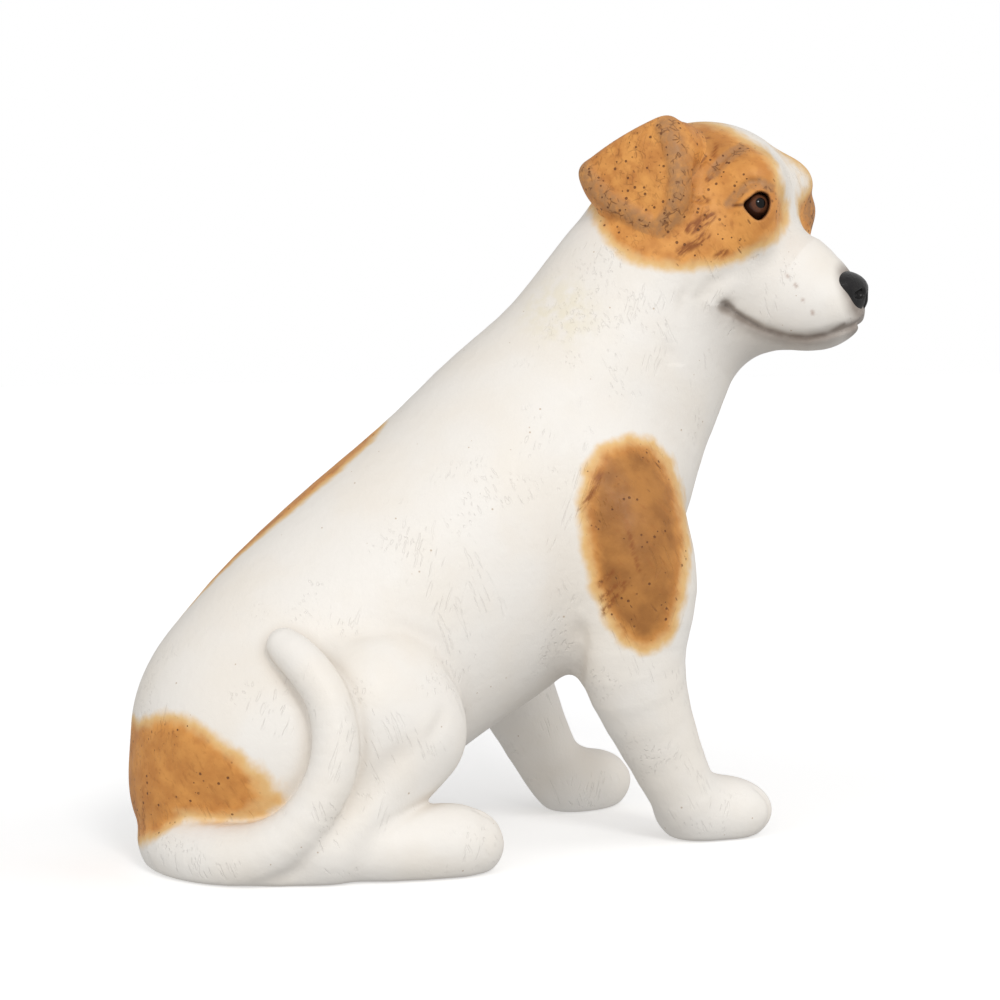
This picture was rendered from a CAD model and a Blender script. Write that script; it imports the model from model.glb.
"""Looks of the ceramic terrier: a sculpted skin for each piece of the frame, paint, and a studio.

The skin is sculpted as one distance field in millimetres, negative inside, in the row frame: Z up, the
dog facing -Y, its right side towards -X. Each piece keeps the part of the skin that its own form shapes.
"""
import math

import bpy
import numpy as np
import openvdb
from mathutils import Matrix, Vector


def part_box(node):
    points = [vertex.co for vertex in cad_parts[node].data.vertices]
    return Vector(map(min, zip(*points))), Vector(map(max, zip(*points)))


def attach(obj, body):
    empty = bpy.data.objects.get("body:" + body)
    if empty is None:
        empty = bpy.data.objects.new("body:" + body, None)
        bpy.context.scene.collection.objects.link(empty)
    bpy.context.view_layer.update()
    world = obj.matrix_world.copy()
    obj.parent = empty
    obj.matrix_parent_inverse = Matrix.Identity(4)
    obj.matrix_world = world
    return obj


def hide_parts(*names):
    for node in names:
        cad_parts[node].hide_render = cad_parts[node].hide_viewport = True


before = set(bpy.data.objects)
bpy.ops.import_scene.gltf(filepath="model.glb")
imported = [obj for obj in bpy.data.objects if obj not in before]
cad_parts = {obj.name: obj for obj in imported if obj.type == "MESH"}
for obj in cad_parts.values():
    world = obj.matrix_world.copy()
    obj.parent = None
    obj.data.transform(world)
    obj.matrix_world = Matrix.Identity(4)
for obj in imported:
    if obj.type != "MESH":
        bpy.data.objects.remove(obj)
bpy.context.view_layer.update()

MM = 0.001
REACH = 16.0  # a form is worked out only within this distance of its box
BOX_MARGIN = 4.0


# ---------------------------------------------------------------- distance field tools

def smooth_min(a, b, blend):
    """Union of two fields with a fillet about `blend` wide."""
    overlap = np.maximum(blend - np.abs(a - b), 0.0) / blend
    return np.minimum(a, b) - overlap * overlap * blend * 0.25


def smooth_max(a, b, blend):
    """Intersection of two fields with a rounded edge about `blend` wide."""
    return -smooth_min(-a, -b, blend)


def turned(yaw=0.0, pitch=0.0):
    """Matrix whose columns are the X, Y and Z axes, pitched about X and then turned about Z (degrees)."""
    a, b = math.radians(yaw), math.radians(pitch)
    about_z = np.array([[math.cos(a), -math.sin(a), 0], [math.sin(a), math.cos(a), 0], [0, 0, 1]])
    about_x = np.array([[1, 0, 0], [0, math.cos(b), -math.sin(b)], [0, math.sin(b), math.cos(b)]])
    return about_z @ about_x


def ellipsoid(p, centre, radii, axes=None):
    """Distance to an ellipsoid, near enough for blending."""
    q = p - np.array(centre)
    if axes is not None:
        q = q @ axes
    r = np.array(radii, float)
    scaled = np.linalg.norm(q / r, axis=1)
    slope = np.linalg.norm(q / (r * r), axis=1)
    return scaled * (scaled - 1.0) / np.maximum(slope, 1e-6)


def flowing(stations, per_gap=3):
    """More stations along a Catmull-Rom curve through these."""
    s = np.array(stations, float)
    padded = np.vstack([2 * s[0] - s[1], s, 2 * s[-1] - s[-2]])
    out = []
    for i in range(len(s) - 1):
        p0, p1, p2, p3 = padded[i:i + 4]
        for step in range(per_gap):
            t = step / per_gap
            out.append(0.5 * (2 * p1 + (p2 - p0) * t + (2 * p0 - 5 * p1 + 4 * p2 - p3) * t ** 2
                              + (3 * p1 - p0 - 3 * p2 + p3) * t ** 3))
    return out + [s[-1]]


def limb(p, stations, blend=3.0, squash=1.0):
    """Chain of round-ended cones through (x, y, z, radius). squash is the X width over the depth."""
    stretch = np.array([1.0 / squash, 1.0, 1.0])
    q = p * stretch
    out = None
    for a, b in zip(stations[:-1], stations[1:]):
        start, run = np.array(a[:3]) * stretch, (np.array(b[:3]) - np.array(a[:3])) * stretch
        along = np.clip((q - start) @ run / (run @ run), 0, 1)
        gap = np.linalg.norm(q - start - along[:, None] * run, axis=1)
        d = gap - (a[3] + (b[3] - a[3]) * along)
        out = d if out is None else smooth_min(out, d, blend)
    return out * min(squash, 1.0)


def line_distance(p, points):
    """Distance to a line through these points, in as many dimensions as they have."""
    out = None
    for a, b in zip(points[:-1], points[1:]):
        start, run = np.array(a, float), np.array(b, float) - np.array(a, float)
        along = np.clip((p - start) @ run / (run @ run), 0, 1)
        gap = np.linalg.norm(p - start - along[:, None] * run, axis=1)
        out = gap if out is None else np.minimum(out, gap)
    return out


def outline_distance(p, corners, rounding):
    """Distance to a convex outline in the plane, corners counter-clockwise, rounded where they meet."""
    out = None
    for a, b in zip(corners, corners[1:] + corners[:1]):
        run = np.array(b, float) - np.array(a, float)
        outward = np.array([run[1], -run[0]]) / np.linalg.norm(run)
        d = (p - np.array(a, float)) @ outward
        out = d if out is None else smooth_max(out, d, rounding)
    return out


def inside_outline(p, corners):
    """How far points lie inside an outline in the plane: negative outside it."""
    within = np.zeros(len(p), bool)
    for (ax, ay), (bx, by) in zip(corners, corners[1:] + corners[:1]):
        crosses = (ay > p[:, 1]) != (by > p[:, 1])
        across = ax + (p[:, 1] - ay) * (bx - ax) / (by - ay if by != ay else 1e-9)
        within ^= crosses & (p[:, 0] < across)
    return line_distance(p, corners + corners[:1]) * np.where(within, 1, -1)


def groove(distance, depth, width):
    """How far a soft groove sinks the skin at this distance from its line."""
    return depth * np.exp(-(distance / width) ** 2)


def fading_groove(p, points, depth, width):
    """A groove along a line, fading out towards both of its ends."""
    to_end = np.min([np.linalg.norm(p - np.array(end), axis=1) for end in (points[0], points[-1])], axis=0)
    return smooth_step(to_end, 0, 4 * width) * groove(line_distance(p, points), depth, width)


def smooth_step(value, low, high):
    """0 below low, 1 above high, and an S curve between."""
    t = np.clip((value - low) / (high - low), 0, 1)
    return t * t * (3 - 2 * t)


def boxed(form, node):
    """The form, worked out only near the box of this CAD node. Elsewhere a large distance stands in."""
    low, high = (np.array(c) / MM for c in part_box(node))
    low, high = low - BOX_MARGIN, high + BOX_MARGIN

    def limited(p):
        away = np.maximum(np.maximum(low - p, p - high), 0).max(axis=1)
        value = away + REACH
        near = away < REACH
        if near.any():
            value[near] = form(p[near])
        return value
    return limited


def with_lumps(d, p, lumps):
    """The field with ellipsoids blended on in turn: centre, radii, blend."""
    for centre, radii, blend in lumps:
        d = smooth_min(d, ellipsoid(p, centre, radii), blend)
    return d


def unit(v):
    v = np.array(v, float)
    return v / np.linalg.norm(v)


def on_left(p):
    """Body points folded onto the left side, for what is the same on both sides."""
    return p * (0, 1, 1) + np.abs(p) * (1, 0, 0)


def on_right(p):
    """Body points folded onto the right side."""
    return p * (0, 1, 1) - np.abs(p) * (1, 0, 0)


# ---------------------------------------------------------------- head frame

def box_centre(node):
    low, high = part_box(node)
    return np.array((low + high) / 2) / MM


RIGHT_EYE, LEFT_EYE, NOSE = (box_centre(n) for n in ("right_eye", "left_eye", "nose"))
EYE_LINE = (RIGHT_EYE + LEFT_EYE) / 2
EYE_FORWARD, EYE_OUT, EYE_UP = 21.5, 17.4, -4.4  # the eyes as seen from the middle of the skull
forward = unit((NOSE - EYE_LINE) * (1, 1, 0))
HEAD_AXES = np.stack([forward, np.cross((0, 0, 1), forward), (0, 0, 1)], axis=1)
SKULL = EYE_LINE - EYE_FORWARD * forward - EYE_UP * np.array((0, 0, 1))


def to_head(p):
    """Points as (forward, left, up) from the middle of the skull."""
    return (p - SKULL) @ HEAD_AXES


def both_sides(q):
    """Head points folded onto the left half, for what is the same on both sides."""
    return q * (1, 0, 1) + np.abs(q) * (0, 1, 0)


def swapped(q):
    """(left, forward, up), so that a limb can be squashed across the head."""
    return q[:, [1, 0, 2]]


# ---------------------------------------------------------------- forms of the pieces

SPINE = flowing([(0, 56, 34.8, 34.8), (0, 41, 48, 36.5), (0, 21, 62.5, 38.2), (0, -1.5, 77.8, 39.6),
                 (0, -18.5, 97, 36.5), (-2, -33, 115, 32), (-3.5, -44, 133, 28.7), (-5, -52.5, 146, 27)])
SPINE_SQUASH = 0.84
# Lumps blended onto the spine: centre, radii, blend.
TORSO_LUMPS = [
    ((0, -35, 89), (24, 17, 22), 14),     # chest
    ((0, 56, 30), (36.5, 34, 31), 10),    # haunches
    ((1, 80, 17), (17, 12.5, 15), 8),     # root of the tail
]
SEAT_LUMPS = [((26, 64, 4), (12, 15, 9), 6)]  # on both sides
TAIL = flowing([(12, 76, 9, 8), (2, 83, 6.8, 8.8), (-11, 84, 6, 8.5), (-23, 80, 6, 7.8),
                (-32, 73, 8.2, 6.9), (-38, 65.5, 14.5, 6), (-41, 59.5, 25, 5.5), (-41, 57.5, 35, 5.2),
                (-38.6, 58.5, 45, 4.9), (-34, 62, 52.3, 4.7), (-28.2, 65.5, 57.2, 4.2)])
FORELEG = flowing([(20, -27, 96, 15), (26, -31.5, 80, 16.5), (28, -33.5, 66, 16), (28.5, -33, 52, 13.3),
                   (28.5, -35.4, 41, 11.6), (28, -41.8, 27, 9.5), (27.5, -49, 13.5, 8),
                   (27, -54, 7.5, 7.8)], per_gap=2)
PAW_CENTRE, PAW_RADII, PAW_TURN, PAW_BLEND = (26.2, -59.6, 7), (8.9, 15.2, 9.4), 17, 4
TOE_GAP = 3.2  # the grooves between the toes, either side of the paw's middle
THIGH_CENTRE, THIGH_RADII, THIGH_LEAN = (26.5, 41, 39), (18, 21, 21), -10
SHIN, SHIN_BLEND = [(30.5, 33.5, 33, 13), (32.5, 57, 9.5, 12)], 7
HIND_FOOT = flowing([(33, 55, 7, 7), (37, 42, 7.6, 8.6), (38.6, 28, 7.6, 9), (38.6, 20.5, 7, 7.8)],
                    per_gap=2)
FOOT_BLEND, FOOT_SQUASH = 2, 1.05
TOE_DEPTH, TOE_WIDTH, TOE_FADE = 0.6, 0.8, 4  # the grooves deepen over this much of each paw
PAW_TOES, FOOT_TOES = 8, 2  # how far from the middle of the paw, and from the foot's end, they start
RIGHT, LEFT = -1, 1
LEG_BACK = {RIGHT: 4.0, LEFT: 14.5}  # how far each foreleg stands behind the chest's line
# The head, as (forward, out, up) from the middle of the skull: lumps have centre, radii, blend.
SKULL_CENTRE, SKULL_RADII = (2, 0, -3), (25, 23, 21.5)
SKULL_LUMPS = [
    ((19.8, 12.2, 2.2), (7.8, 7.8, 6.6), 7),     # brow
    ((37.5, 0, -32.5), (6.5, 6, 4.5), 4),        # front of the lips
    ((2, 13, -16), (17, 11, 14), 10),            # cheek
]
LIP_LUMPS = [((33, 5.5, -29), (10, 7, 8), 4)]
EYE_BAG_LUMPS = [((21.5, 15.2, -9.5), (4.6, 5.2, 6), 6)]
# The muzzle and the jaw as chains of (out, forward, up, radius).
MUZZLE, MUZZLE_SQUASH, MUZZLE_BLEND = [(0, 12, -22, 17), (0, 27, -26.5, 13.8), (0, 32.5, -29, 11)], 0.92, 8
JAW, JAW_SQUASH, JAW_BLEND = [(0, 8, -30.5, 11), (0, 34.5, -33.8, 5.0)], 1.1, 4
EAR_OUTLINE = [(1.5, 20), (-15.5, 12.4), (-24.4, 5.2), (-19.5, -5), (1, -14), (8.4, -6), (8, 13)]
EAR_SPAN, EAR_OUT, EAR_MIDDLE = 42.0, 30.3, -8.0  # the flap bends over a barrel of this size
EAR_THICKNESS = 5.6
EAR_FRONT_RIM = [(1.5, 16), (3.6, 12), (5, 7.5), (5.8, 2.5), (5.4, -3), (3.8, -7.2), (0.6, -10)]
EAR_LOW_RIM = [(-20.5, 5), (-17.8, 1.2), (-14.6, -2), (-11, -4.4), (-7, -6.8), (-3.2, -9)]
EAR_RIM_WIDTH, EAR_RIM_RISE = 2.7, 1.2
EAR_ROUNDING = 4.0
EAR_ROOT_LUMPS = [((1.5, 18, 9), (7, 9, 8.5), 3)]
MOUTH = [(14.2, -30.2), (18, -33.2), (22.6, -35.9), (28.2, -37.6), (33, -38), (37.7, -37.3), (42, -35.8),
         (50, -35.4)]
MOUTH_CORNER = (14.2, 17.5, -29.8)
EYE_RADIUS, EYE_SINK = 3.6, 0.9
EYE_FACING = unit((0.45, 0.89, 0.03))
EYE_ACROSS = unit((0.89, -0.45, 0.0))
EYE_SEAT = np.array((EYE_FORWARD, EYE_OUT, EYE_UP)) - EYE_SINK * EYE_FACING
# The gap between the lids in the plane of the eye, as (towards the nose, up).
EYE_OPENING = [(-3.0, 0.2), (-0.9, -3.1), (1.3, -4.2), (3.9, -1.6), (4.0, 2.6), (1.2, 3.6)]
OPENING_ROUNDING, OPENING_DEPTH = 1.2, 1.0
LID_CENTRE, LID_RADIUS, LID_BLEND = (1.0, -0.2, 0.2), 5.0, 3
EYE_BALL = EYE_SEAT + 0.7 * EYE_ACROSS  # the ball shows a little nearer to the nose than its seat
PUPIL_FACING = unit(3.1 * EYE_FACING + 0.9 * EYE_ACROSS + (0, 0, 0.5))
CORNEA_OUT, CORNEA_RADIUS = 1.25, 2.5


def torso(p):
    d = with_lumps(limb(p, SPINE, squash=SPINE_SQUASH), p, TORSO_LUMPS)
    return with_lumps(d, on_left(p), SEAT_LUMPS)


def toe_grooves(across, beyond):
    """Two grooves along the toes, starting where `beyond` turns positive."""
    return smooth_step(beyond, 0, TOE_FADE) * groove(np.abs(across) - TOE_GAP, TOE_DEPTH, TOE_WIDTH)


def foreleg(side):
    toe_out = turned(yaw=PAW_TURN)

    def form(p):
        q = p * (side, 1, 1) - (0, LEG_BACK[side], 0)
        d = smooth_min(limb(q, FORELEG), ellipsoid(q, PAW_CENTRE, PAW_RADII, toe_out), PAW_BLEND)
        across, along = ((q - PAW_CENTRE) @ toe_out).T[:2]
        return d + toe_grooves(across, -along - PAW_TOES)
    return form


def hind_leg(side):
    lean = turned(pitch=THIGH_LEAN)
    toe_x, toe_y = HIND_FOOT[-1][:2]

    def form(p):
        q = p * (side, 1, 1)
        d = smooth_min(ellipsoid(q, THIGH_CENTRE, THIGH_RADII, lean), limb(q, SHIN), SHIN_BLEND)
        d = smooth_min(d, limb(q, HIND_FOOT, squash=FOOT_SQUASH), FOOT_BLEND)
        return d + toe_grooves(q[:, 0] - toe_x, toe_y + FOOT_TOES - q[:, 1])
    return form


def tail(p):
    return limb(p, TAIL, blend=1.5)


def eye_frame(q):
    """(across towards the nose, up, outward) from the eye's seat, on folded head points."""
    rel = q - EYE_SEAT
    up = np.cross(EYE_FACING, EYE_ACROSS)
    up = up * np.sign(up[2])
    return np.stack([rel @ EYE_ACROSS, rel @ up, rel @ EYE_FACING], axis=1)


def head(p):
    q = to_head(p)
    m = both_sides(q)
    d = with_lumps(ellipsoid(m, SKULL_CENTRE, SKULL_RADII), m, SKULL_LUMPS)
    d = smooth_min(d, limb(swapped(m), MUZZLE, blend=6, squash=MUZZLE_SQUASH), MUZZLE_BLEND)
    d = with_lumps(d, m, LIP_LUMPS)
    d = smooth_min(d, limb(swapped(m), JAW, blend=4, squash=JAW_SQUASH), JAW_BLEND)
    d = with_lumps(d, m, EYE_BAG_LUMPS)
    e = eye_frame(m)
    d = smooth_min(d, np.linalg.norm(e - LID_CENTRE, axis=1) - LID_RADIUS, LID_BLEND)
    outline = outline_distance(e[:, :2], EYE_OPENING, OPENING_ROUNDING)
    opening = smooth_max(outline, -(e[:, 2] + OPENING_DEPTH), 0.5)
    return smooth_max(d, -opening, 0.8)


def ear_rims(flat):
    """1 along the rolled front and lower rims of an ear, falling to 0 beside them."""
    gap = np.minimum(line_distance(flat, EAR_FRONT_RIM), line_distance(flat, EAR_LOW_RIM))
    return np.exp(-(gap / EAR_RIM_WIDTH) ** 4)


def ear(side):
    def form(p):
        q = to_head(p) * (1, side, 1)
        flat = q[:, [0, 2]]
        bend = 1 - ((q[:, 0] - EAR_MIDDLE) / EAR_SPAN) ** 2 - (q[:, 2] / EAR_SPAN) ** 2
        outer = EAR_OUT * np.sqrt(np.maximum(bend, 0.02)) + EAR_RIM_RISE * ear_rims(flat)
        half = EAR_THICKNESS / 2
        sheet = np.abs(q[:, 1] - outer + half) - half
        flap = smooth_max(outline_distance(flat, EAR_OUTLINE, EAR_ROUNDING), sheet, EAR_ROUNDING)
        return with_lumps(flap, q, EAR_ROOT_LUMPS)
    return form


FORMS = {
    "torso_shell": boxed(torso, "torso_shell"),
    "head_shell": boxed(head, "head_shell"),
    "right_ear": boxed(ear(RIGHT), "right_ear"),
    "left_ear": boxed(ear(LEFT), "left_ear"),
    "right_foreleg": boxed(foreleg(RIGHT), "right_foreleg"),
    "left_foreleg": boxed(foreleg(LEFT), "left_foreleg"),
    "right_hind_leg": boxed(hind_leg(RIGHT), "right_hind_leg"),
    "left_hind_leg": boxed(hind_leg(LEFT), "left_hind_leg"),
    "tail": boxed(tail, "tail"),
}
BLENDS = {"head_shell": 10, "right_foreleg": 9, "left_foreleg": 9, "right_hind_leg": 4,
          "left_hind_leg": 4, "tail": 1.8, "right_ear": 2, "left_ear": 2}
SOLE_ROUNDING = 1.5

# Grooves on the body: points of the line, depth, width. Given for the right side; both sides get them.
BODY_GROOVES = [
    ([(-44.5, 35, 38), (-44, 44, 29.6), (-43, 48, 25.5), (-42, 52.5, 20.5), (-40, 60, 12)], 1.2, 3.2),
    ([(-42, 27, 44), (-44.5, 33, 37), (-45, 38, 31)], 0.5, 2.0),
    ([(-30, 53, 57.5), (-33, 44, 60), (-33, 37, 60.4), (-34, 27, 56), (-34, 21, 46), (-34, 19, 38)],
     0.6, 1.8),
    ([(-22, -19, 42), (-27, -15, 47), (-31, -13.5, 53), (-33, -13, 62)], 1.0, 2.0),
]
# Grooves on the head, as (forward, out, up).
HEAD_GROOVES = [
    ([(22, 17, -20.5), (17, 20.5, -22), (12.7, 23.2, -24.6), (10, 24.8, -28.5), (10.6, 23.4, -35)],
     0.9, 2.2),
    ([(9, 26, -22), (6, 27.5, -28), (5.5, 27.5, -35)], 0.5, 1.6),
    ([(15, 23, -3.6), (17.6, 21.4, -3.6), (19.4, 21, -0.4), (21.5, 19.8, 1.6), (25, 17.4, 1.6)],
     0.7, 0.9),
    ([(10.7, 21, 2.7), (13, 18.4, 6.6), (15.4, 14.4, 9.8), (17.3, 10.5, 11.2)], 0.8, 1.2),
    ([(10.7, 14.6, 12.6), (10.4, 18.2, 7.4)], 0.5, 0.7),
    ([(9.3, 17.9, 10), (8.2, 21, 5)], 0.5, 0.7),
    ([(12.5, 22.5, -3.4), (9.4, 23.7, -3), (6.4, 25.4, -2.4)], 0.6, 0.8),
    ([(2, 31.5, -36), (3.5, 31, -41), (7, 28, -47)], 0.5, 1.8),
]
CHIN_FLOOR = -45  # the head's grooves stop at this height
MOUTH_DEPTH, MOUTH_WIDTH = 1.1, 1.1
PHILTRUM_RISE, PHILTRUM_WIDTH = 1.6, 2.5  # the mouth line rises under the nose
DIMPLE_DEPTH, DIMPLE_WIDTH = 1.2, 2.2  # at the corner of the mouth


def details(p):
    """How far the carved lines sink the skin."""
    q = to_head(p)
    m = both_sides(q)
    sunk = np.zeros(len(p))
    for points, depth, width in BODY_GROOVES:
        sunk += fading_groove(on_right(p), points, depth, width)
    on_head = q[:, 2] > CHIN_FLOOR
    face = m[on_head]
    for points, depth, width in HEAD_GROOVES:
        sunk[on_head] += fading_groove(face, points, depth, width)
    philtrum = groove(face[:, 1], PHILTRUM_RISE, PHILTRUM_WIDTH)
    lip = np.stack([face[:, 0], face[:, 2] - philtrum], axis=1)
    muzzle = smooth_step(face[:, 0], 11, 14) * (face[:, 2] < -20)
    sunk[on_head] += muzzle * groove(line_distance(lip, MOUTH), MOUTH_DEPTH, MOUTH_WIDTH)
    sunk[on_head] += groove(np.linalg.norm(face - MOUTH_CORNER, axis=1), DIMPLE_DEPTH, DIMPLE_WIDTH)
    return sunk


def skin(p):
    """The whole skin, and the form of each piece."""
    parts = {name: form(p) for name, form in FORMS.items()}
    d = parts["torso_shell"]
    for name, blend in BLENDS.items():
        d = smooth_min(d, parts[name], blend)
    d = d + details(p)
    return smooth_max(d, -p[:, 2], SOLE_ROUNDING), parts


def claim(parts, name):
    """Negative where this piece's own form is nearer than every other's."""
    others = np.min([d for other, d in parts.items() if other != name], axis=0)
    return parts[name] - others


# ---------------------------------------------------------------- meshes

def in_chunks(function, p, size=400000):
    """function over p, a block at a time, to keep memory low."""
    return np.concatenate([function(p[i:i + size]) for i in range(0, len(p), size)])


def gradient(function, p, step=0.15):
    """Slope of a field by four samples at the corners of a tetrahedron."""
    corners = np.array([(1, -1, -1), (-1, -1, 1), (-1, 1, -1), (1, 1, 1)], float)
    samples = np.stack([function(p + step * c) for c in corners])
    return np.einsum("kn...,kj->n...j", samples, corners) / (4 * step)


def rough_mesh(function, low, high, step):
    """Points and quads of the surface where function is 0, on a grid of this step."""
    count = np.ceil((high - low) / step).astype(int) + 1
    axes = [low[i] + step * np.arange(count[i]) for i in range(3)]
    p = np.stack(np.meshgrid(*axes, indexing="ij"), axis=-1).reshape(-1, 3)
    values = in_chunks(function, p).reshape(count)
    grid = openvdb.FloatGrid(background=REACH)
    grid.copyFromArray(values.astype(np.float32))
    points, quads = grid.convertToQuads(isovalue=0.0)
    return points * step + low, quads.astype(np.int64)


def refined(points, quads):
    """Each quad split into four."""
    edges = np.concatenate([quads[:, [i, (i + 1) % 4]] for i in range(4)])
    pairs, index = np.unique(np.sort(edges, axis=1), axis=0, return_inverse=True)
    middles = (len(points) + index.reshape(-1)).reshape(4, -1).T
    centres = len(points) + len(pairs) + np.arange(len(quads))
    points = np.concatenate([points, points[pairs].mean(axis=1), points[quads].mean(axis=1)])
    split = [np.stack([quads[:, i], middles[:, i], centres, middles[:, i - 1]], axis=1) for i in range(4)]
    return points, np.concatenate(split)


# A piece dips under its neighbour, so that no gap opens at a seam: slope, width, and how much of it is
# still shaded like the skin.
FLANGE_SLOPE, FLANGE_WIDTH, FLANGE_SHOWN = 0.35, 1.5, 1.05


def own_solid(p, name):
    """One piece: its share of the skin, a flange that dips under the neighbours, and a cut inside."""
    whole, parts = skin(p)
    beyond = claim(parts, name)
    return np.maximum(whole + FLANGE_SLOPE * np.maximum(beyond, 0), beyond - FLANGE_WIDTH)


def settle(function, p, furthest):
    """Moves points onto the surface where function is 0."""
    for _ in range(2):
        slope = gradient(function, p)
        steep = np.maximum((slope * slope).sum(axis=1), 0.05)
        move = -(function(p) / steep)[:, None] * slope
        size = np.linalg.norm(move, axis=1, keepdims=True)
        p = p + move * np.minimum(1, furthest / np.maximum(size, 1e-9))
    return p


def closed_mesh(function, node, margin, step):
    """Points and quads, in millimetres, of the surface where function is 0 near a CAD node's box."""
    low, high = (np.array(c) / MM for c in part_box(node))
    points, quads = rough_mesh(function, low - margin, high + margin, step)
    points, quads = refined(settle(function, points, step), quads)
    return settle(function, points, step / 2), quads


def build_object(name, points, quads, normals=None):
    """A smooth mesh object in metres from points in millimetres."""
    mesh = bpy.data.meshes.new(name)
    mesh.vertices.add(len(points))
    mesh.vertices.foreach_set("co", (points * MM).ravel())
    mesh.loops.add(quads.size)
    mesh.loops.foreach_set("vertex_index", quads.ravel())
    mesh.polygons.add(len(quads))
    mesh.polygons.foreach_set("loop_start", np.arange(0, quads.size, 4))
    mesh.update(calc_edges=True)
    mesh.shade_smooth()
    if normals is not None:
        mesh.normals_split_custom_set(normals.tolist())
    obj = bpy.data.objects.new(name, mesh)
    bpy.context.scene.collection.objects.link(obj)
    return obj


def corner_normals(name, points, quads):
    """A normal for each corner: the skin's slope where the piece shows, and its own slope inside."""
    def shown(p):
        return skin(p)[0]

    def hidden(p):
        return own_solid(p, name)
    slope = np.stack([gradient(shown, points), gradient(hidden, points)], axis=1)
    slope /= np.maximum(np.linalg.norm(slope, axis=2, keepdims=True), 1e-6)
    inside = claim(skin(points[quads].mean(axis=1))[1], name) > FLANGE_SHOWN
    return slope[quads, inside.astype(int)[:, None]].reshape(-1, 3)


# ---------------------------------------------------------------- nose and eyes

NOSE_TOP_CENTRE, NOSE_TOP_RADII = (39.9, 0, -25.2), (6.7, 8.2, 4.4)
NOSE_LUMPS = [((41.9, 0, -28.6), (4.6, 6.2, 4.1), 3)]
NOSTRIL = [(46.2, 2.7, -26.8, 1.2), (45.6, 4.2, -27.2, 0.9)]
CLEFT_FROM, CLEFT_TO = 26.0, 28.0  # the cleft under the nose deepens between these depths
CLEFT_DEPTH, CLEFT_WIDTH = 0.7, 0.6


def nose(p):
    m = both_sides(to_head(p))
    d = with_lumps(ellipsoid(m, NOSE_TOP_CENTRE, NOSE_TOP_RADII), m, NOSE_LUMPS)
    d = smooth_max(d, -limb(m, NOSTRIL, blend=1), 0.8)
    under = smooth_step(-m[:, 2], CLEFT_FROM, CLEFT_TO)
    return d + under * groove(m[:, 1], CLEFT_DEPTH, CLEFT_WIDTH)


def eye(side):
    def form(p):
        q = to_head(p) * (1, side, 1)
        ball = np.linalg.norm(q - EYE_BALL, axis=1) - EYE_RADIUS
        cornea = np.linalg.norm(q - EYE_BALL - CORNEA_OUT * PUPIL_FACING, axis=1) - CORNEA_RADIUS
        return smooth_min(ball, cornea, 1.0)
    return form


# ---------------------------------------------------------------- paint

# A patch is sprayed through a stencil held in front of the dog's quarter: across, up.
STENCIL_TURN = math.radians(26.0)  # how far the body stencil is turned from a plain side view
HEAD_STENCIL_TURN = math.radians(24.0)
HEAD_PATCH = [(-4, 20), (3, 19), (8, 16.5), (13, 13.2), (17, 10.2), (19, 6.5), (20.2, 1.5), (22.4, -3.5),
              (22.6, -8), (20.2, -12), (16, -15), (10.5, -18), (5, -20), (-5, -21.2), (-15.5, -20),
              (-20, -18.2), (-24, -14.6), (-26.8, -10), (-29, -4), (-30, 8), (-20, 20)]
NAPE = -30.0  # the head's patch and strokes stop at this height in the head frame
SHOULDER_PATCH = [(38.8, 106.3), (44.6, 104.4), (49, 99.8), (52.3, 91), (53.6, 80), (53.2, 73),
                  (51.7, 64.5), (49.5, 56.7), (45.4, 52.4), (40.4, 51.6), (34.9, 55), (30.8, 61.5),
                  (27.8, 69), (25.7, 79), (24.8, 89), (26.3, 97.7), (30, 103.5)]
SHOULDER, SHOULDER_REACH = np.array((36.0, -31.0, 79.0)), 33.0  # the spray gets no further than this
LEFT_PATCH_BACK = 6.0  # the left shoulder's patch lies this much further back
RUMP_PATCH = [(-1, 37), (-12, 40.5), (-18, 40), (-23, 37.5), (-27.5, 34), (-31, 30), (-33, 24.5), (-33, 20),
              (-29, 16), (-23, 14.5), (-16, 14.5), (-11, 9), (0, 6), (10, 8), (18, 14), (24, 22), (24, 30),
              (16, 36), (7, 37)]
BACK_PATCH = [(3, 25), (-1.5, 31), (-3, 42), (-2, 53), (0.5, 62), (3, 72), (9, 80), (18, 80), (27, 74),
              (32, 62), (34, 48), (31, 34), (24, 26), (12, 22)]
RUMP_FROM, BACK_FROM = 50.0, 45.0  # the rump patch lies behind this Y, and the back patch above this Z
BARE, COVERED = -20.0, 8.0  # patch depth where there is no patch, and where all is patch
FAR_LASH, FAR_PATCH = 1.3, 1.5  # the left side's eye line and patch were painted this much further forward

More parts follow.
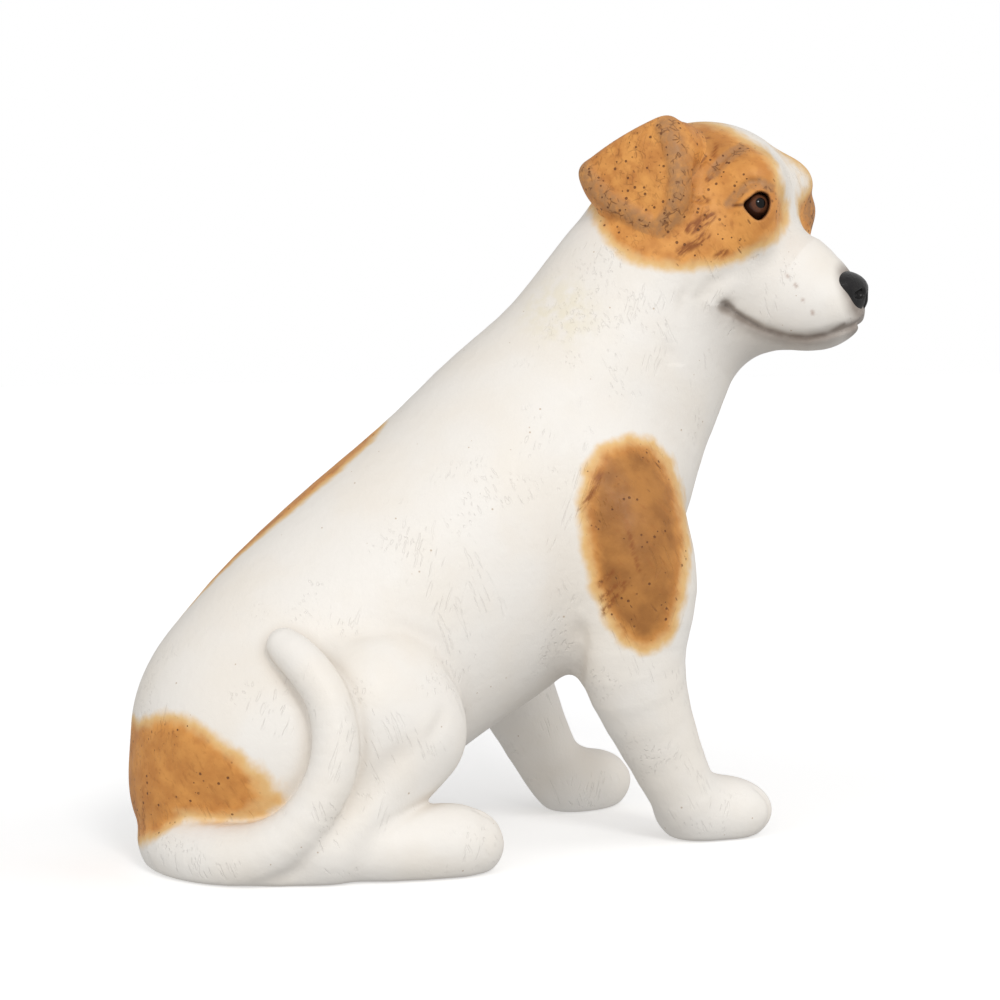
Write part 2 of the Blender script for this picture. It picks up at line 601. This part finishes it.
# Brush strokes on the head stencil: layer, points, width, strength.
HEAD_STROKES = [
    ("umber", [(2.4, 3.8), (5, 7), (8.2, 9.6), (10.2, 10.6)], 2.4, 0.9),
    ("rust", [(1.4, 2.4), (3.2, 4.8)], 1.4, 0.9),
    ("rust", [(3.6, 11.4), (2.7, 8.5)], 0.7, 0.8),
    ("rust", [(0.3, 7.9), (-1.0, 5.8)], 0.8, 0.8),
    ("rust", [(-1.4, 13.6), (0.6, 12.6), (1.8, 13.4)], 0.7, 0.8),
    ("rust", [(-4.3, 16), (-4.6, 13.5), (-3.2, 10)], 2.2, 0.8),
    ("rust", [(-3.4, -2.4), (-0.9, -3), (1.1, -3.2)], 1.0, 0.8),
    ("umber", [(6.4, -3.9), (8.9, -1.2), (11.7, 0.9), (14.3, 1.5), (17, 0.2)], 2.0, 0.9),
    ("rust", [(1.6, -7.1), (-1.0, -9.1), (-3.6, -10.4)], 2.6, 0.9),
    ("rust", [(0.6, -12.0), (-2.6, -14.2), (-5.9, -16.3)], 2.0, 0.9),
    ("rust", [(5.5, -16), (3.4, -17.4)], 1.4, 0.8),
    ("soot", [(5.8, -29.6), (7.4, -30.8)], 2.2, 0.6),
    ("rust", [(21.6, -22.1), (21.8, -22.4)], 0.3, 0.5),
    ("rust", [(23.6, -24.6), (23.8, -24.9)], 0.4, 0.5),
    ("rust", [(25.5, -28.5), (25.6, -28.7)], 0.3, 0.5),
    ("rust", [(27.9, -31.5), (28, -31.9)], 0.4, 0.5),
]
# Brush strokes on the shoulder stencil, and on the rump seen from behind: points, width.
SHOULDER_STROKES = [
    ([(25.4, 88), (28, 91.5), (30.6, 97)], 1.0),
    ([(30.6, 61.5), (33, 64.5), (36, 68.5)], 1.0),
    ([(30.8, 65.5), (34, 68.8), (37, 70)], 0.8),
    ([(30, 69), (33.6, 72.6)], 0.7),
    ([(37.4, 83), (38.4, 78), (40, 73)], 0.6),
]
RUMP_STROKES = [
    ([(1, 7), (3, 12), (2, 17)], 0.9),
    ([(5, 7), (7, 12), (6.4, 18)], 0.9),
    ([(9, 8), (11.5, 13), (11, 19)], 0.9),
    ([(-3, 9), (-2, 12.5), (-3.6, 16)], 0.8),
]
EYE_CORNER_STROKE = [(7.6, -4.4), (10.5, -4.2)]
# Dabs of grey on the claws: place, radius.
DABS = [((-48, 17.6, 8), 1.6), ((-32.5, -71, 6.5), 1.2)]
STAIN_CENTRE, STAIN_RADII = (-15, -15, 137), (14, 10, 11)  # a yellowed spot on the neck
BROW_LINE = [(-3, 15), (8, 12)]  # the tan is browner about this line above the eye
# The wash below the lips, in the same plane: a crisp upper edge, fading downwards.
LIP_LINE = [(6, -29.8), (11, -33.2), (16.2, -35.9), (22.1, -37.6), (27.3, -38), (32.5, -37.1),
            (36.5, -34.8)]
LIP_FADE, LIP_EDGE = 2.6, 0.7
NOSE_WASH_CENTRE, NOSE_WASH_FROM, NOSE_WASH_TO = (42.5, 0, -27), 6.0, 10.0
CHIN_WASH_CENTRE, CHIN_WASH_RADII = (42, 0, -34.5), (6.5, 6, 4)
LAYERS = ("patch", "brown", "umber", "rust", "soot", "stain", "rim", "ear")


def stroke(p, points, width, soft=0.8):
    """1 within a brush stroke, falling to 0 over its soft edge."""
    return 1 - smooth_step(line_distance(p, points), width / 2 - soft / 2, width / 2 + soft)


def lip_wash(face):
    gap = line_distance(face, LIP_LINE)
    height = np.interp(face[:, 0], *zip(*LIP_LINE))
    fade = np.where(face[:, 1] < height, LIP_FADE, LIP_EDGE)
    return 0.66 * np.exp(-(gap / fade) ** 2) + 0.15 * np.exp(-(gap / (2.5 * fade)) ** 2)


def overlay(layer, key, amount):
    layer[key] = np.maximum(layer[key], amount)


def head_stencil(q):
    """Head points as (across, up) on the head's stencil."""
    m = both_sides(q)
    across = np.cos(HEAD_STENCIL_TURN) * m[:, 0] - np.sin(HEAD_STENCIL_TURN) * m[:, 1]
    across = across - np.where(q[:, 1] > 0, FAR_PATCH, 0.0)
    return np.stack([across, m[:, 2]], axis=1)


def paint_ear(layer, q):
    layer["patch"] += COVERED
    layer["ear"] += 1.0
    overlay(layer, "umber", 0.95 * ear_rims(q[:, [0, 2]]))


def paint_eyelids(layer, q, face):
    """The dark line round each eye, and a fold over the left one."""
    e = eye_frame(both_sides(q))
    lash = outline_distance(e[:, :2], EYE_OPENING, 2.0)
    left = (q[:, 1] > 0) & (e[:, 0] > 1)
    overlay(layer, "rim", (1 - smooth_step(lash - np.where(left, FAR_LASH, 0.0), 0.0, 0.7)) * (e[:, 2] > -3))
    overlay(layer, "rim", 0.8 * stroke(face, EYE_CORNER_STROKE, 0.5, 0.5))
    front = (q[:, 1] > 0) & (e[:, 0] > 2) & (e[:, 2] > -6)
    overlay(layer, "umber", (1 - smooth_step(np.abs(lash - 3.0), 0.5, 1.2)) * front)


def paint_head(layer, q, face):
    m = both_sides(q)
    above_nape = m[:, 2] > NAPE
    layer["patch"] = np.where(above_nape, inside_outline(face, HEAD_PATCH), BARE)
    for key, points, width, strength in HEAD_STROKES:
        overlay(layer, key, strength * stroke(face, points, width))
    overlay(layer, "brown", 0.45 * (1 - smooth_step(line_distance(face, BROW_LINE), 2, 9)) * above_nape)
    paint_eyelids(layer, q, face)
    from_nose = np.linalg.norm(m - NOSE_WASH_CENTRE, axis=1)
    from_chin = np.linalg.norm((m - CHIN_WASH_CENTRE) / CHIN_WASH_RADII, axis=1)
    overlay(layer, "soot", lip_wash(face))
    overlay(layer, "soot", 0.8 * (1 - smooth_step(from_nose, NOSE_WASH_FROM, NOSE_WASH_TO)))
    overlay(layer, "soot", 0.75 * (1 - smooth_step(from_chin, 0.5, 1.5)))
    layer["soot"] *= m[:, 2] > -50
    for key in ("soot", "umber", "rust"):
        layer[key] *= m[:, 0] > -12


def paint_body(layer, p):
    further_back = np.where(p[:, 0] > 0, LEFT_PATCH_BACK, 0.0)
    across = np.sin(STENCIL_TURN) * np.abs(p[:, 0]) - np.cos(STENCIL_TURN) * (p[:, 1] - further_back)
    side = np.stack([across, p[:, 2]], axis=1)
    from_shoulder = np.linalg.norm(on_left(p) - SHOULDER, axis=1)
    shoulder = np.minimum(inside_outline(side, SHOULDER_PATCH), SHOULDER_REACH - from_shoulder)
    rump = np.where(p[:, 1] > RUMP_FROM, inside_outline(p[:, [0, 2]], RUMP_PATCH), BARE)
    saddle = np.where(p[:, 2] > BACK_FROM, inside_outline(p[:, :2], BACK_PATCH), BARE)
    patch = np.max([shoulder, rump, saddle], axis=0)
    overlay(layer, "patch", patch)
    overlay(layer, "brown", smooth_step(patch, -3, -1) * np.where(shoulder >= patch, 1.0, 0.25))
    for points, width in SHOULDER_STROKES:
        overlay(layer, "rust", 0.8 * stroke(side, points, width) * smooth_step(shoulder, -1, 1))
    for points, width in RUMP_STROKES:
        overlay(layer, "rust", 0.8 * stroke(p[:, [0, 2]], points, width) * (p[:, 1] > 70))
    for centre, radius in DABS:
        gap = np.linalg.norm(on_right(p) - np.array(centre), axis=1)
        overlay(layer, "soot", 0.6 * (1 - smooth_step(gap, 0.3 * radius, radius)))


def paint_layers(name, p):
    """The paint on one piece, a number a vertex for each layer."""
    layer = {key: np.zeros(len(p)) for key in LAYERS}
    q = to_head(p)
    if name.endswith("_ear"):
        paint_ear(layer, q)
    else:
        layer["patch"] += BARE
        if name in ("head_shell", "torso_shell"):
            paint_head(layer, q, head_stencil(q))
        paint_body(layer, p)
    from_stain = np.linalg.norm((p - STAIN_CENTRE) / STAIN_RADII, axis=1)
    layer["stain"] = 1 - smooth_step(from_stain, 0.3, 1.3)
    layer["crease"] = crease(p)
    return layer


CREASE_REACH, CREASE_GAIN = 3.0, 1.6


def crease(p):
    """How hollow the skin is: 0 on flat or crowned skin, towards 1 deep in a fold."""
    whole = skin(p)[0]
    slope = gradient(lambda x: skin(x)[0], p)
    slope /= np.maximum(np.linalg.norm(slope, axis=1, keepdims=True), 1e-6)
    rise = (skin(p + CREASE_REACH * slope)[0] - whole) / CREASE_REACH
    return np.clip((1 - rise) * CREASE_GAIN, 0, 1)


def eye_layers(p):
    """How far each point of the eyeball is from the middle of the pupil, in millimetres."""
    m = both_sides(to_head(p)) - EYE_BALL
    ahead = m @ PUPIL_FACING
    gap = np.linalg.norm(m - ahead[:, None] * PUPIL_FACING, axis=1)
    return {"iris": np.where(ahead > 0, gap, EYE_RADIUS)}


def add_layers(obj, layers):
    for key, values in layers.items():
        data = obj.data.attributes.new(key, "FLOAT", "POINT")
        data.data.foreach_set("value", values.astype(np.float32))


# ---------------------------------------------------------------- materials

class Shader:
    """Builds one material. Each method adds a node and returns its output."""

    def __init__(self, name):
        self.material = bpy.data.materials.new(name)
        self.material.use_nodes = True
        self.tree = self.material.node_tree
        self.surface = self.tree.nodes["Principled BSDF"].inputs
        place = self.node("TexCoord", {}, "Object")
        self.place = self.node("VectorMath", {0: place, "Scale": 1 / MM}, operation="SCALE")

    def feed(self, socket, value):
        if isinstance(value, bpy.types.NodeSocket):
            self.tree.links.new(value, socket)
        elif isinstance(value, tuple) and len(value) == 3 and socket.type == "RGBA":
            socket.default_value = value + (1.0,)
        else:
            socket.default_value = value

    def node(self, kind, inputs, output=0, **settings):
        made = self.tree.nodes.new("ShaderNode" + kind)
        for key, value in settings.items():
            setattr(made, key, value)
        for key, value in inputs.items():
            self.feed(made.inputs[key], value)
        return made.outputs[output]

    def layer(self, name):
        return self.node("Attribute", {}, "Fac", attribute_name=name)

    def math(self, operation, a, b=0.0):
        return self.node("Math", {0: a, 1: b}, operation=operation)

    def ramp(self, value, low, high, to_low=0.0, to_high=1.0):
        ends = {"Value": value, "From Min": low, "From Max": high, "To Min": to_low, "To Max": to_high}
        return self.node("MapRange", ends, interpolation_type="SMOOTHSTEP")

    def most(self, *values):
        largest = values[0]
        for value in values[1:]:
            largest = self.math("MAXIMUM", largest, value)
        return largest

    def mix(self, factor, a, b):
        return self.node("Mix", {0: factor, 6: a, 7: b}, 2, data_type="RGBA")

    def noise(self, size, detail=2.0, place=None):
        """Soft noise from 0 to 1 whose blobs are about this many millimetres across."""
        return self.node("TexNoise", {"Vector": place or self.place, "Scale": 1 / size, "Detail": detail})

    def stretched(self, size, lean=0.0):
        """Coordinates in cells of this size, leaned about X by this many degrees."""
        turn = (math.radians(lean), 0.0, 0.0)
        leaned = self.node("VectorRotate", {"Vector": self.place, "Rotation": turn},
                           rotation_type="EULER_XYZ")
        per_cell = tuple(1 / length for length in size)
        return self.node("VectorMath", {0: leaned, 1: per_cell}, operation="MULTIPLY")

    def marks(self, cell, radius, share, lean=0.0):
        """1 inside scattered marks: cell size in mm, radius in cells, share of cells that have one."""
        cells = self.tree.nodes.new("ShaderNodeTexVoronoi")
        self.feed(cells.inputs["Vector"], self.stretched(cell, lean))
        cells.inputs["Scale"].default_value = 1.0
        pick = self.node("SeparateColor", {0: cells.outputs["Color"]}, "Red")
        size = self.node("SeparateColor", {0: cells.outputs["Color"]}, "Green")
        reach = self.math("MULTIPLY", self.ramp(size, 0.0, 1.0, 0.6, 1.3), radius)
        near = self.ramp(self.math("DIVIDE", cells.outputs["Distance"], reach), 0.7, 1.1, 1.0, 0.0)
        return self.times(near, self.math("LESS_THAN", pick, share))

    def cracks(self, cell, width):
        """1 along wandering lines between cells of this size, both in millimetres."""
        wander = self.node("TexNoise", {"Vector": self.place, "Scale": 0.6 / cell, "Detail": 3}, "Color")
        shift = self.node("VectorMath", {0: wander, "Scale": cell * 1.6}, operation="SCALE")
        bent = self.node("VectorMath", {0: self.place, 1: shift}, operation="ADD")
        edge = self.node("TexVoronoi", {"Vector": bent, "Scale": 1 / cell}, "Distance",
                         feature="DISTANCE_TO_EDGE")
        return self.ramp(edge, 0.0, width / cell, 1.0, 0.0)

    def times(self, *factors):
        product = factors[0]
        for factor in factors[1:]:
            product = self.math("MULTIPLY", product, factor)
        return product


# Linear colours of the paints.
WHITE, WARM_WHITE = (0.83, 0.795, 0.745), (0.82, 0.77, 0.70)
YELLOWED, HOLLOW_GREY, SPECK = (0.80, 0.74, 0.61), (0.62, 0.55, 0.47), (0.42, 0.29, 0.17)
TAN, DEEP_TAN, TAN_EDGE = (0.74, 0.335, 0.085), (0.57, 0.23, 0.055), (0.76, 0.50, 0.22)
BROWN, DEEP_BROWN, STREAK = (0.45, 0.195, 0.048), (0.31, 0.125, 0.03), (0.36, 0.13, 0.03)
EAR_RED, RUST, UMBER = (0.40, 0.13, 0.03), (0.24, 0.07, 0.014), (0.41, 0.205, 0.085)
PIN_MARK, SOOT, LASH = (0.13, 0.045, 0.016), (0.17, 0.125, 0.10), (0.095, 0.032, 0.017)
NOSE_BLACK, NOSE_GREY = (0.012, 0.012, 0.013), (0.03, 0.028, 0.027)
IRIS, IRIS_FLECK, IRIS_RIM = (0.16, 0.06, 0.028), (0.08, 0.028, 0.014), (0.035, 0.013, 0.008)
PUPIL = (0.004, 0.004, 0.004)
IRIS_RIM_FROM, IRIS_RIM_TO, PUPIL_FROM, PUPIL_TO = 2.0, 2.7, 1.25, 1.5  # distance from the eye's middle


def white_paint(s, grain):
    """Warm white that clouds, yellows in one spot, greys in the hollows and carries a few specks."""
    white = s.mix(s.ramp(s.noise(22, 3), 0.35, 0.7), WHITE, WARM_WHITE)
    white = s.mix(s.times(s.layer("stain"), s.ramp(grain, 0.3, 0.65)), white, YELLOWED)
    white = s.mix(s.times(s.layer("crease"), 0.45), white, HOLLOW_GREY)
    return s.mix(s.times(s.marks((4, 4, 4), 0.06, 0.5), 0.6), white, SPECK)


def tan_paint(s, depth):
    """Airbrushed tan: browner on the shoulder and brow, streaked, and paler at its edge."""
    bright = s.mix(s.ramp(s.noise(5, 3), 0.3, 0.7), TAN, DEEP_TAN)
    dull = s.mix(s.ramp(s.noise(7, 3), 0.3, 0.7), BROWN, DEEP_BROWN)
    tan = s.mix(s.times(s.layer("brown"), s.ramp(depth, 1.0, 6.0)), bright, dull)
    streaks = s.noise(1.0, 3, s.stretched((1.2, 6.0, 1.2), lean=-45))
    tan = s.mix(s.ramp(streaks, 0.54, 0.72, 0.0, 0.4), tan, STREAK)
    tan = s.mix(s.ramp(depth, 0.2, 3.6), TAN_EDGE, tan)
    ruddy = s.times(s.ramp(s.noise(2.2, 3), 0.5, 0.66), s.layer("ear"), 0.3)
    return s.mix(ruddy, tan, EAR_RED)


def dark_marks(s, depth):
    """1 in the cracks, pin marks and dashes on the tan."""
    sparse = s.ramp(s.noise(2.6, 1), 0.5, 0.6)
    split = s.times(s.cracks(2.6, 0.24), sparse, s.most(s.layer("umber"), s.times(s.layer("ear"), 0.45)))
    thick = s.most(s.layer("ear"), s.ramp(s.noise(8, 1), 0.44, 0.56))
    pins = s.times(s.marks((1.7, 1.7, 1.7), 0.19, 0.75), thick)
    dashes = s.times(s.marks((1.6, 8.0, 1.6), 0.15, 0.5, lean=-50), s.ramp(s.noise(10, 1), 0.48, 0.58))
    dark = s.most(s.times(split, 0.72), s.times(pins, 0.85), s.times(dashes, 0.6))
    return s.times(dark, s.ramp(depth, 0.3, 1.6))


def hair_lines(s):
    """1 in fine combed lines of two leans, only where the skin faces sideways."""
    facing_up = s.node("SeparateXYZ", {0: s.node("NewGeometry", {}, "Normal")}, "Z")
    flank = s.ramp(s.math("ABSOLUTE", facing_up), 0.45, 0.7, 1.0, 0.0)
    down = s.ramp(s.noise(1.0, 1, s.stretched((0.8, 12, 0.8), lean=-66)), 0.60, 0.68)
    up = s.ramp(s.noise(1.0, 1, s.stretched((0.8, 12, 0.8), lean=70)), 0.60, 0.68)
    here, there = s.ramp(s.noise(14, 1), 0.54, 0.62), s.ramp(s.noise(17, 1), 0.56, 0.64)
    return s.times(s.most(s.times(down, here), s.times(up, there)), flank)


def make_ceramic():
    """Satin painted ceramic: warm white, airbrushed tan patches, dark pin marks and brush strokes."""
    s = Shader("painted_ceramic")
    grain = s.noise(3.2, 3)
    wobble = s.ramp(s.noise(3.5, 2), 0.25, 0.75, -0.5, 0.5)
    depth = s.math("ADD", s.layer("patch"), wobble)
    paint = s.mix(s.ramp(depth, -1.6, 1.1), white_paint(s, grain), tan_paint(s, depth))

    bristles = s.ramp(s.noise(1.0, 3, s.stretched((0.8, 4.0, 0.8), lean=40)), 0.36, 0.6, 0.15, 1.0)
    paint = s.mix(s.times(s.layer("rust"), bristles), paint, RUST)
    worn = s.ramp(s.noise(1.6, 3), 0.3, 0.6, 0.45, 1.0)
    paint = s.mix(s.times(s.layer("umber"), worn), paint, UMBER)
    dark = dark_marks(s, depth)
    paint = s.mix(dark, paint, PIN_MARK)
    paint = s.mix(s.times(s.layer("soot"), s.ramp(grain, 0.2, 0.6, 0.8, 1.0)), paint, SOOT)
    paint = s.mix(s.layer("rim"), paint, LASH)
    s.feed(s.surface["Base Color"], paint)

    gloss = s.ramp(s.layer("rim"), 0.0, 1.0, 1.0, 0.45)
    s.feed(s.surface["Roughness"], s.times(s.ramp(grain, 0.2, 0.8, 0.42, 0.55), gloss))
    s.feed(s.surface["Specular IOR Level"], 0.35)

    sunk = s.math("ADD", s.times(hair_lines(s), 0.15), s.times(dark, 0.2))
    raised = s.math("ADD", s.times(s.noise(0.7, 2), 0.05), s.times(grain, 0.25))
    height = s.math("SUBTRACT", raised, sunk)
    s.feed(s.surface["Normal"], s.node("Bump", {"Height": height, "Distance": MM, "Strength": 0.8}))
    return s.material


def make_nose_gloss():
    s = Shader("nose_gloss")
    pebbles = s.node("TexVoronoi", {"Vector": s.place, "Scale": 1 / 0.7}, "Distance")
    s.feed(s.surface["Base Color"], s.mix(s.noise(2.0), NOSE_BLACK, NOSE_GREY))
    s.feed(s.surface["Roughness"], s.ramp(s.noise(0.8), 0.3, 0.7, 0.14, 0.28))
    s.feed(s.surface["Specular IOR Level"], 0.25)
    bump = s.node("Bump", {"Height": pebbles, "Distance": 0.12 * MM, "Strength": 0.6})
    s.feed(s.surface["Normal"], bump)
    return s.material


def make_eye_gloss():
    s = Shader("eye_gloss")
    gap = s.layer("iris")
    iris = s.mix(s.noise(0.45, 3), IRIS, IRIS_FLECK)
    iris = s.mix(s.ramp(gap, IRIS_RIM_FROM, IRIS_RIM_TO), iris, IRIS_RIM)
    s.feed(s.surface["Base Color"], s.mix(s.ramp(gap, PUPIL_FROM, PUPIL_TO), PUPIL, iris))
    s.feed(s.surface["Roughness"], 0.07)
    s.feed(s.surface["Specular IOR Level"], 0.32)
    return s.material


ceramic, nose_gloss, eye_gloss = make_ceramic(), make_nose_gloss(), make_eye_gloss()


# ---------------------------------------------------------------- pieces

GRID = {"torso_shell": 1.4, "head_shell": 0.8, "right_ear": 0.8, "left_ear": 0.8, "tail": 1.0,
        "right_foreleg": 1.1, "left_foreleg": 1.1, "right_hind_leg": 1.1, "left_hind_leg": 1.1}
GLOSSY = [("nose", nose, nose_gloss, "nose_gloss"),
          ("right_eye", eye(RIGHT), eye_gloss, "eye_gloss"),
          ("left_eye", eye(LEFT), eye_gloss, "eye_gloss")]
GLOSSY_GRID, GLOSSY_MARGIN = 0.4, 3.0


def install(piece, node, material, slot):
    """Paints a piece and puts it in the place of its CAD node."""
    piece.data.materials.append(material)
    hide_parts(node)
    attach(piece, "root")


for name, step in GRID.items():
    points, quads = closed_mesh(lambda p: own_solid(p, name), name, BOX_MARGIN, step)
    piece = build_object(name + "_skin", points, quads, corner_normals(name, points, quads))
    add_layers(piece, paint_layers(name, points))
    install(piece, name, ceramic, "painted_ceramic")

for name, form, material, slot in GLOSSY:
    points, quads = closed_mesh(form, name, GLOSSY_MARGIN, GLOSSY_GRID)
    piece = build_object(name + "_skin", points, quads)
    if slot == "eye_gloss":
        add_layers(piece, eye_layers(points))
    install(piece, name, material, slot)


# ---------------------------------------------------------------- studio

def aim(obj, place, target):
    obj.location = Vector(place)
    obj.rotation_mode = "QUATERNION"
    obj.rotation_quaternion = (Vector(place) - Vector(target)).to_track_quat("Z", "Y")
    bpy.context.scene.collection.objects.link(obj)


CAMERA_AZIMUTH, CAMERA_ELEVATION, CAMERA_DISTANCE = 244.0, 4.0, 0.722
CAMERA_TARGET = Vector((0.0, -0.006, 0.0882))
LENS, SENSOR = 100.0, 36.0
azimuth, elevation = math.radians(CAMERA_AZIMUTH), math.radians(CAMERA_ELEVATION)
back = Vector((math.sin(azimuth) * math.cos(elevation), -math.cos(azimuth) * math.cos(elevation),
               math.sin(elevation)))
lens = bpy.data.cameras.new("camera")
lens.lens = LENS
lens.sensor_width = SENSOR
lens.clip_start = 0.01
camera = bpy.data.objects.new("camera", lens)
aim(camera, CAMERA_TARGET + back * CAMERA_DISTANCE, CAMERA_TARGET)
bpy.context.scene.camera = camera

SKY_LIGHT, SKY_SEEN = 0.47, 1.0  # how strongly the sky lights the dog, and how bright it looks
world = bpy.data.worlds.new("studio")
bpy.context.scene.world = world
world.use_nodes = True
sky = world.node_tree.nodes["Background"]
sky.inputs["Color"].default_value = (1.0, 1.0, 1.0, 1.0)
rays = world.node_tree.nodes.new("ShaderNodeLightPath")
strength = world.node_tree.nodes.new("ShaderNodeMapRange")
strength.inputs["To Min"].default_value = SKY_LIGHT
strength.inputs["To Max"].default_value = SKY_SEEN
world.node_tree.links.new(rays.outputs["Is Camera Ray"], strength.inputs["Value"])
world.node_tree.links.new(strength.outputs["Result"], sky.inputs["Strength"])

# Soft boxes, as wide suns: place, spread in degrees, power. Only the small one shows in the gloss.
SUNS = [
    ("key", (-0.85, 0.25, 0.5), 60.0, 0.78),
    ("fill", (-0.5, -0.9, 0.25), 50.0, 0.88),
    ("rear_fill", (-0.3, 0.95, 0.25), 50.0, 0.85),
    ("sparkle", (-0.75, 0.1, 0.5), 13.0, 0.65),
]
for name, place, spread, power in SUNS:
    light = bpy.data.lights.new(name, "SUN")
    light.angle = math.radians(spread)
    light.energy = power
    sun = bpy.data.objects.new(name, light)
    sun.visible_glossy = name == "sparkle"
    aim(sun, place, (0, 0, 0))

bpy.context.scene.view_settings.view_transform = "Standard"

FLOOR_REACH, FLOOR_WHITE, FLOOR_GLOW = 4.0, 0.9, 0.3
corners = [(FLOOR_REACH * x, FLOOR_REACH * y, 0) for x, y in ((-1, -1), (1, -1), (1, 1), (-1, 1))]
floor_mesh = bpy.data.meshes.new("floor")
floor_mesh.from_pydata(corners, [], [(0, 1, 2, 3)])
floor = bpy.data.objects.new("floor", floor_mesh)
bpy.context.scene.collection.objects.link(floor)
floor_material = bpy.data.materials.new("floor")
floor_material.use_nodes = True
floor_paint = floor_material.node_tree.nodes["Principled BSDF"].inputs
floor_paint["Base Color"].default_value = (FLOOR_WHITE, FLOOR_WHITE, FLOOR_WHITE, 1.0)
floor_paint["Roughness"].default_value = 0.9
floor_paint["Specular IOR Level"].default_value = 0.0
floor_paint["Emission Color"].default_value = (1.0, 1.0, 1.0, 1.0)
floor_paint["Emission Strength"].default_value = FLOOR_GLOW
floor.visible_diffuse = False
floor.visible_glossy = False
floor_mesh.materials.append(floor_material)
